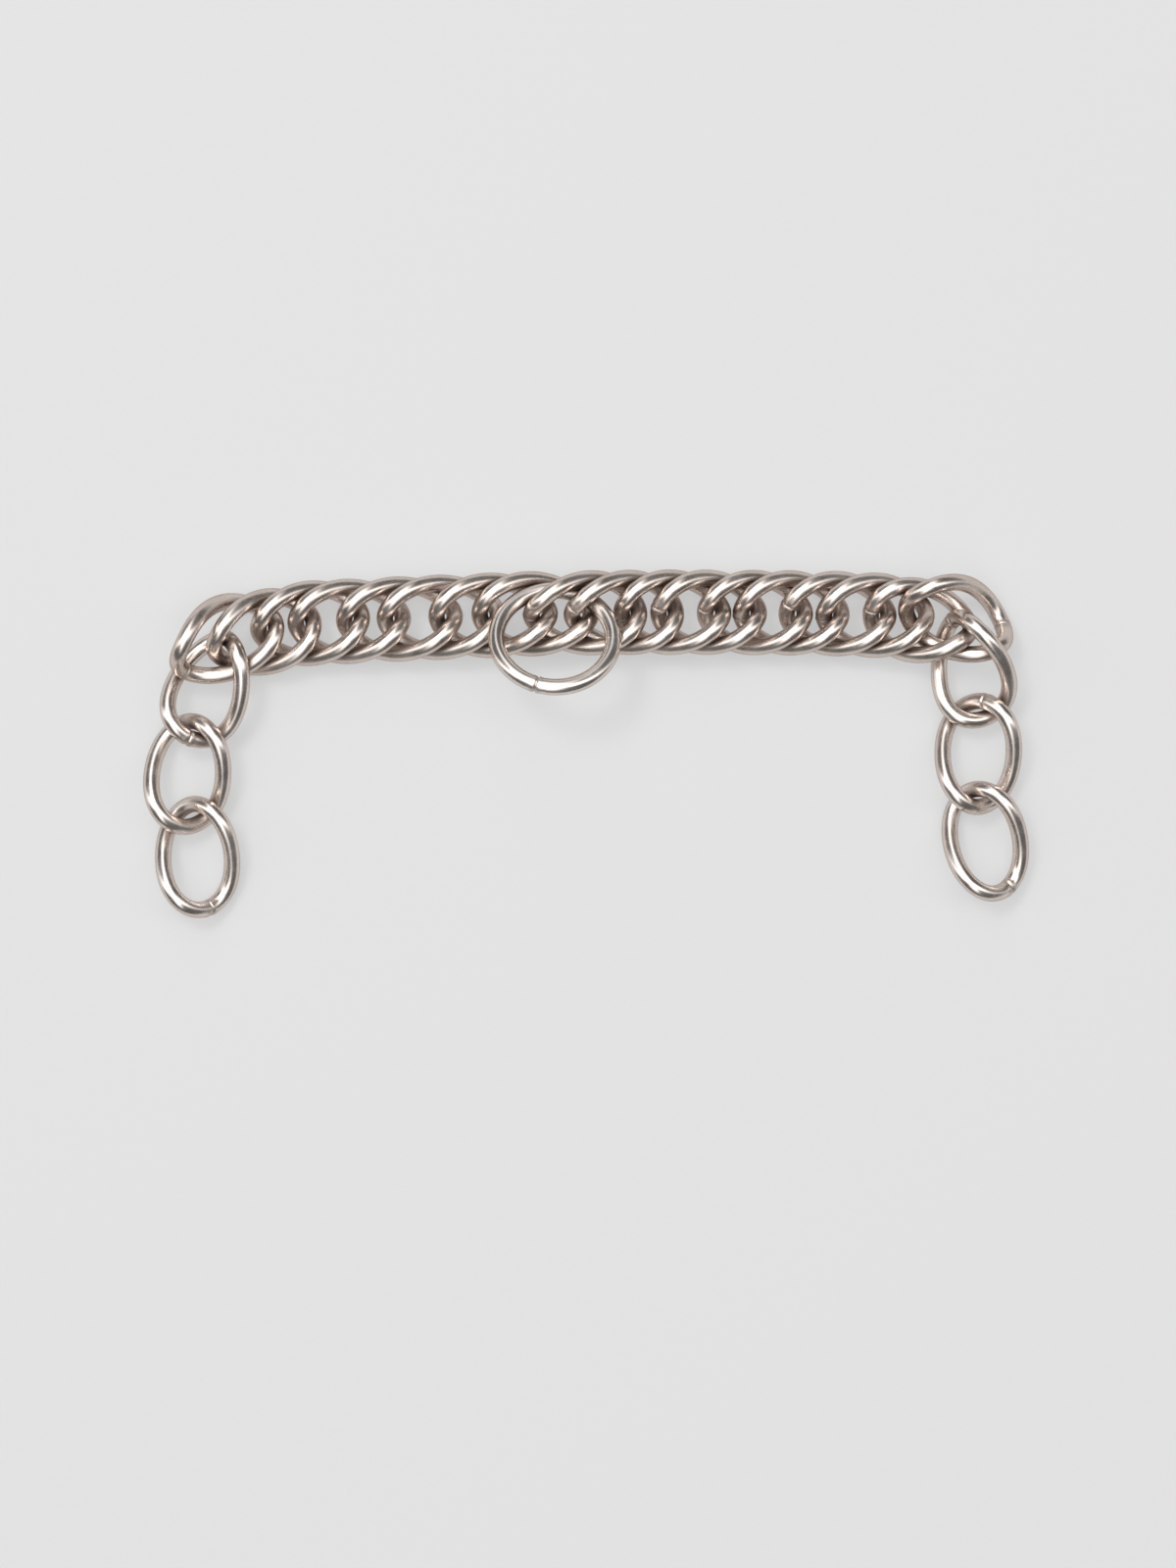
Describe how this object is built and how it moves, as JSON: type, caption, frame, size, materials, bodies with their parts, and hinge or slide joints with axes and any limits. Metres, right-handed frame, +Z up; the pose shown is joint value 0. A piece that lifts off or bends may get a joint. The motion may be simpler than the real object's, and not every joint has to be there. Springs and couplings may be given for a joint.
{
  "type": "double link curb chain",
  "caption": "Double-link curb chain of twisted oval steel wire links, with a fly ring at mid-length and three single end links at each side; lies flat.",
  "frame": {"origin": "middle of the bounding box in X and Y, on the plane the chain lies on", "axes": "+X along the body of the chain, +Y away from the trailing end links, +Z up off the plane the chain lies on"},
  "size_m": [0.1806, 0.071, 0.0215],
  "materials": {
    "body_steel": "satin stainless steel, softly brushed along the wire",
    "end_steel": "satin stainless steel, a little brighter",
    "ring_steel": "satin stainless steel, polished bright along the wire"
  },
  "bodies": {
    "body_link_01": {"body_link_01": "body_steel"},
    "body_link_02": {"body_link_02": "body_steel"},
    "body_link_03": {"body_link_03": "body_steel"},
    "body_link_04": {"body_link_04": "body_steel"},
    "body_link_05": {"body_link_05": "body_steel"},
    "body_link_06": {"body_link_06": "body_steel"},
    "body_link_07": {"body_link_07": "body_steel"},
    "body_link_08": {"body_link_08": "body_steel"},
    "body_link_09": {"body_link_09": "body_steel"},
    "body_link_10": {"body_link_10": "body_steel"},
    "body_link_11": {"body_link_11": "body_steel"},
    "body_link_12": {"body_link_12": "body_steel"},
    "body_link_13": {"body_link_13": "body_steel"},
    "body_link_14": {"body_link_14": "body_steel"},
    "body_link_15": {"body_link_15": "body_steel"},
    "body_link_16": {"body_link_16": "body_steel"},
    "body_link_17": {"body_link_17": "body_steel"},
    "body_link_18": {"body_link_18": "body_steel"},
    "left_end_link_1": {"left_end_link_1": "end_steel"},
    "left_end_link_2": {"left_end_link_2": "end_steel"},
    "left_end_link_3": {"left_end_link_3": "end_steel"},
    "right_end_link_1": {"right_end_link_1": "end_steel"},
    "right_end_link_2": {"right_end_link_2": "end_steel"},
    "right_end_link_3": {"right_end_link_3": "end_steel"},
    "fly_ring": {"fly_ring": "ring_steel"}
  },
  "joints": [
    {"name": "bend_10", "type": "hinge", "parent": "body_link_09", "child": "body_link_10", "pos_m": [0.00069, 0.02664, 0.00724], "axis": [0, 1, 0], "range_deg": [-1.5, 4.5]},
    {"name": "bend_11", "type": "hinge", "parent": "body_link_10", "child": "body_link_11", "pos_m": [0.0125, 0.02678, 0.00651], "axis": [0, 1, 0], "range_deg": [-3, 10]},
    {"name": "bend_12", "type": "hinge", "parent": "body_link_11", "child": "body_link_12", "pos_m": [0.02114, 0.02682, 0.00601], "axis": [0, 1, 0], "range_deg": [-2.5, 4]},
    {"name": "bend_13", "type": "hinge", "parent": "body_link_12", "child": "body_link_13", "pos_m": [0.02958, 0.02681, 0.00546], "axis": [0, 1, 0], "range_deg": [-5.5, 6]},
    {"name": "bend_14", "type": "hinge", "parent": "body_link_13", "child": "body_link_14", "pos_m": [0.03801, 0.02676, 0.00511], "axis": [0, 1, 0], "range_deg": [-4, 3.5]},
    {"name": "bend_15", "type": "hinge", "parent": "body_link_14", "child": "body_link_15", "pos_m": [0.04644, 0.02664, 0.00511], "axis": [0, 1, 0], "range_deg": [-9.5, 5.5]},
    {"name": "bend_16", "type": "hinge", "parent": "body_link_15", "child": "body_link_16", "pos_m": [0.05771, 0.02626, 0.00588], "axis": [0, 1, 0], "range_deg": [-2.5, 0.5]},
    {"name": "bend_17", "type": "hinge", "parent": "body_link_16", "child": "body_link_17", "pos_m": [0.06341, 0.02558, 0.00616], "axis": [0, 1, 0], "range_deg": [-1, 2.5]},
    {"name": "bend_18", "type": "hinge", "parent": "body_link_17", "child": "body_link_18", "pos_m": [0.07175, 0.02532, 0.00681], "axis": [0, 1, 0], "range_deg": [-1.5, 3.5]},
    {"name": "bend_08", "type": "hinge", "parent": "body_link_09", "child": "body_link_08", "pos_m": [-0.00908, 0.02653, 0.00585], "axis": [0, -1, 0], "range_deg": [-2, 0.5]},
    {"name": "bend_07", "type": "hinge", "parent": "body_link_08", "child": "body_link_07", "pos_m": [-0.01479, 0.02635, 0.00591], "axis": [0, -1, 0], "range_deg": [-1.5, 1.5]},
    {"name": "bend_06", "type": "hinge", "parent": "body_link_07", "child": "body_link_06", "pos_m": [-0.02437, 0.026, 0.00566], "axis": [0, -1, 0], "range_deg": [-5.5, 4]},
    {"name": "bend_05", "type": "hinge", "parent": "body_link_06", "child": "body_link_05", "pos_m": [-0.03394, 0.02565, 0.00511], "axis": [0, -1, 0], "range_deg": [-5.5, 7]},
    {"name": "bend_04", "type": "hinge", "parent": "body_link_05", "child": "body_link_04", "pos_m": [-0.04333, 0.02524, 0.00511], "axis": [0, -1, 0], "range_deg": [-9, 5]},
    {"name": "bend_03", "type": "hinge", "parent": "body_link_04", "child": "body_link_03", "pos_m": [-0.04949, 0.02494, 0.00516], "axis": [0, -1, 0], "range_deg": [-1, 1]},
    {"name": "bend_02", "type": "hinge", "parent": "body_link_03", "child": "body_link_02", "pos_m": [-0.05766, 0.02431, 0.0056], "axis": [0, -1, 0], "range_deg": [-7.5, 5]},
    {"name": "bend_01", "type": "hinge", "parent": "body_link_02", "child": "body_link_01", "pos_m": [-0.06696, 0.02244, 0.00642], "axis": [0, -1, 0], "range_deg": [-1.5, 1.5]},
    {"name": "left_swing_1", "type": "hinge", "parent": "body_link_01", "child": "left_end_link_1", "pos_m": [-0.07462, 0.01872, 0.00617], "axis": [0, 0, -1], "range_deg": [-2.5, 45]},
    {"name": "left_swing_2", "type": "hinge", "parent": "left_end_link_1", "child": "left_end_link_2", "pos_m": [-0.08047, 0.0016, 0.00598], "axis": [-0.866, -0.5, 0], "range_deg": [-5, 40]},
    {"name": "left_swing_3", "type": "hinge", "parent": "left_end_link_2", "child": "left_end_link_3", "pos_m": [-0.07994, -0.01527, 0.00501], "axis": [-0.866, -0.5, 0], "range_deg": [-35, 25]},
    {"name": "right_swing_1", "type": "hinge", "parent": "body_link_18", "child": "right_end_link_1", "pos_m": [0.0764, 0.0241, 0.00918], "axis": [0, 0, 1], "range_deg": [0, 55]},
    {"name": "right_swing_2", "type": "hinge", "parent": "right_end_link_1", "child": "right_end_link_2", "pos_m": [0.08016, 0.00714, 0.00523], "axis": [-0.866, -0.5, 0], "range_deg": [0, 27.5]},
    {"name": "right_swing_3", "type": "hinge", "parent": "right_end_link_2", "child": "right_end_link_3", "pos_m": [0.07935, -0.01087, 0.00517], "axis": [-0.866, -0.5, 0], "range_deg": [-20, 27.5]},
    {"name": "ring_turn", "type": "hinge", "parent": "body_link_09", "child": "fly_ring", "pos_m": [-0.00646, 0.02123, 0.01351], "axis": [0.0268, 0.5371, 0.8431], "continuous": true}
  ]
}
